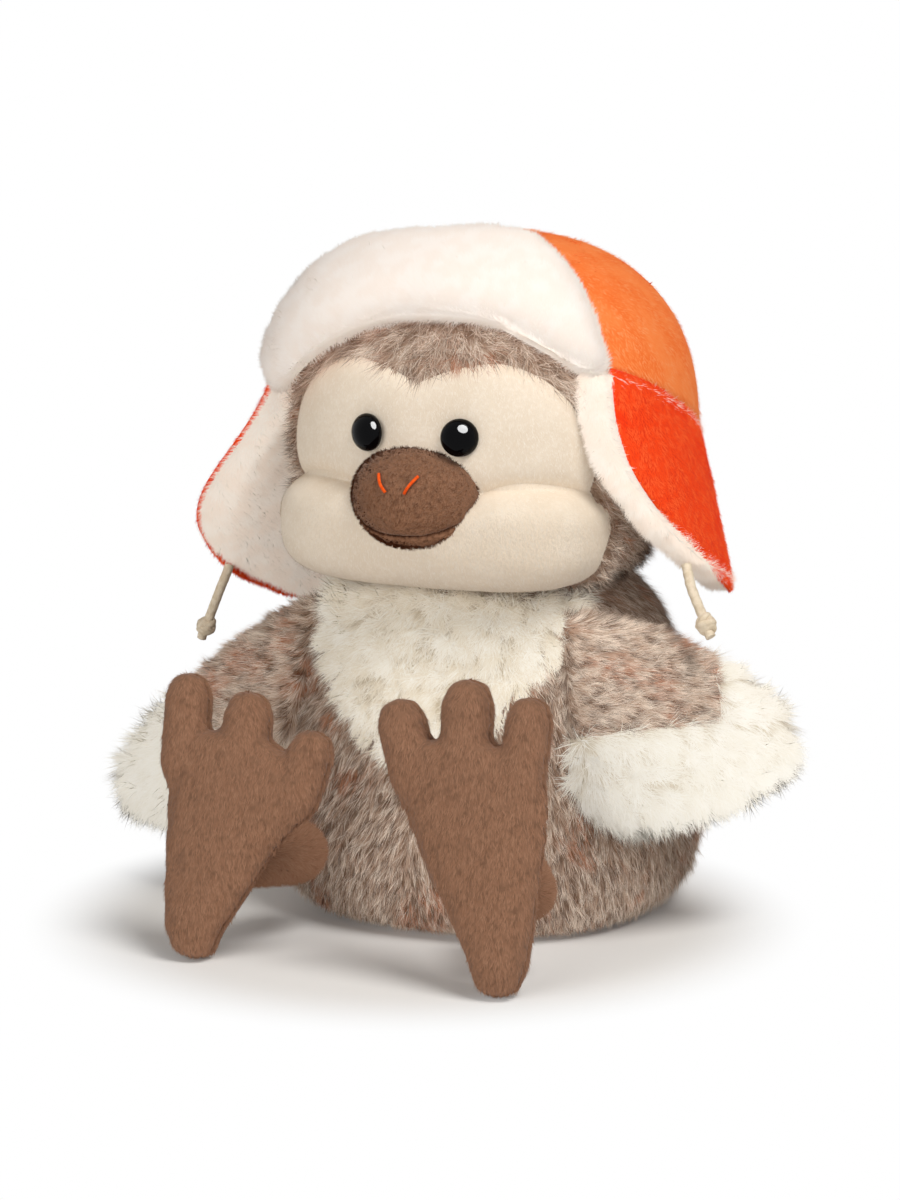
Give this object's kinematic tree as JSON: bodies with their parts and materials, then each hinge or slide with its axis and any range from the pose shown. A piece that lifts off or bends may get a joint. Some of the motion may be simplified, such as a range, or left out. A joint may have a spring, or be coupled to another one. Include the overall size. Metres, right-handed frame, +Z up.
{
  "type": "stuffed_toy",
  "caption": "Seated long-pile plush sparrow with cream face and bib, big brown feet, and a removable orange and white trapper hat with swinging ear flaps and tie cords",
  "frame": {"origin": "centre of the flat seat, on the surface the toy sits on", "axes": "+Z up, -Y the way the bird faces, +X the bird's left"},
  "size_m": [0.2281, 0.2249, 0.2267],
  "materials": {
    "body_fur": "long frosted grey-brown pile, mottled, with fine dark streaks and pale tips",
    "cream_fur": "long soft cream pile",
    "face_plush": "short cream minky, matt",
    "brown_plush": "short brown minky with a directional nap",
    "flap_plush": "short deep orange velour pile",
    "crown_plush": "short orange velour pile with lighter nap patches",
    "white_plush": "dense white plush",
    "cotton_cord": "braided natural cotton",
    "orange_thread": "twisted orange thread",
    "black_glaze": "gloss black domed eye",
    "clear_nylon": "satin natural nylon",
    "fibre_fill": "white polyester fibre fill",
    "pouch_cloth": "plain woven pouch of pellets"
  },
  "bodies": {
    "bird": {"torso_fur": "body_fur", "chest_bib": "cream_fur", "seat_panel": "body_fur", "pellet_pouch": "pouch_cloth", "torso_stuffing": "fibre_fill", "head_fur": "body_fur", "face_upper": "face_plush", "face_muzzle": "face_plush", "head_stuffing": "fibre_fill", "beak_upper": "brown_plush", "beak_lower": "brown_plush", "nostril_stitch_left": "orange_thread", "nostril_stitch_right": "orange_thread", "eye_left": "black_glaze", "eye_right": "black_glaze", "eye_washer_left": "clear_nylon", "eye_washer_right": "clear_nylon"},
    "hat": {"hat_crown": "crown_plush", "hat_lining": "white_plush", "hat_visor": "white_plush"},
    "tail_piece": {"tail": "body_fur"},
    "flap_left": {"ear_flap_left": "flap_plush", "ear_flap_lining_left": "white_plush"},
    "tie_left": {"tie_cord_left": "cotton_cord", "cord_knot_left": "cotton_cord"},
    "wing_left": {"wing_base_left": "body_fur", "wing_tip_left": "cream_fur"},
    "leg_piece_left": {"leg_left": "brown_plush"},
    "foot_left": {"foot_sole_left": "brown_plush", "foot_upper_left": "brown_plush"},
    "flap_right": {"ear_flap_right": "flap_plush", "ear_flap_lining_right": "white_plush"},
    "tie_right": {"tie_cord_right": "cotton_cord", "cord_knot_right": "cotton_cord"},
    "wing_right": {"wing_base_right": "body_fur", "wing_tip_right": "cream_fur"},
    "leg_piece_right": {"leg_right": "brown_plush"},
    "foot_right": {"foot_sole_right": "brown_plush", "foot_upper_right": "brown_plush"}
  },
  "joints": [
    {"name": "hat_lift", "type": "slide", "parent": "bird", "child": "hat", "axis": [-0.0663, 0, 0.9978], "range_m": [0, 0.13]},
    {"name": "ear_flap_left_swing", "type": "hinge", "parent": "hat", "child": "flap_left", "pos_m": [0.06822, -0.032, 0.18458], "axis": [-0.0249, -0.9268, 0.3746], "range_deg": [0, 150]},
    {"name": "ear_flap_right_swing", "type": "hinge", "parent": "hat", "child": "flap_right", "pos_m": [-0.07087, -0.032, 0.17534], "axis": [0.0249, 0.9268, -0.3746], "range_deg": [0, 140]},
    {"name": "tie_cord_left_swing", "type": "hinge", "parent": "flap_left", "child": "tie_left", "pos_m": [0.07503, -0.0115, 0.11977], "axis": [1, 0, 0], "range_deg": [-35, 35]},
    {"name": "tie_cord_right_swing", "type": "hinge", "parent": "flap_right", "child": "tie_right", "pos_m": [-0.09109, -0.00429, 0.10701], "axis": [1, 0, 0], "range_deg": [-35, 35]},
    {"name": "wing_left_swing", "type": "hinge", "parent": "bird", "child": "wing_left", "pos_m": [0.05051, -0.0421, 0.06], "axis": [-0.2028, 0.1891, 0.9608], "range_deg": [-33, 10], "stiffness_Nm_per_rad": 0.02},
    {"name": "wing_right_swing", "type": "hinge", "parent": "bird", "child": "wing_right", "pos_m": [-0.05051, -0.0421, 0.06], "axis": [-0.2028, -0.1891, -0.9608], "range_deg": [-15, 28], "stiffness_Nm_per_rad": 0.02},
    {"name": "leg_left_swing", "type": "hinge", "parent": "bird", "child": "leg_piece_left", "pos_m": [0.038, -0.06302, 0.027], "axis": [-1, 0, 0], "range_deg": [-35, 8], "stiffness_Nm_per_rad": 0.05},
    {"name": "leg_right_swing", "type": "hinge", "parent": "bird", "child": "leg_piece_right", "pos_m": [-0.038, -0.06302, 0.027], "axis": [-1, 0, 0], "range_deg": [-35, 8], "stiffness_Nm_per_rad": 0.05},
    {"name": "foot_left_tilt", "type": "hinge", "parent": "leg_piece_left", "child": "foot_left", "pos_m": [0.05, -0.08186, 0.028], "axis": [1, 0, 0], "range_deg": [-9, 28], "stiffness_Nm_per_rad": 0.05},
    {"name": "foot_right_tilt", "type": "hinge", "parent": "leg_piece_right", "child": "foot_right", "pos_m": [-0.047, -0.07971, 0.028], "axis": [1, 0, 0], "range_deg": [-9, 28], "stiffness_Nm_per_rad": 0.05},
    {"name": "tail_lift", "type": "hinge", "parent": "bird", "child": "tail_piece", "pos_m": [0, 0.06817, 0.019], "axis": [1, 0, 0], "range_deg": [0, 25]}
  ]
}
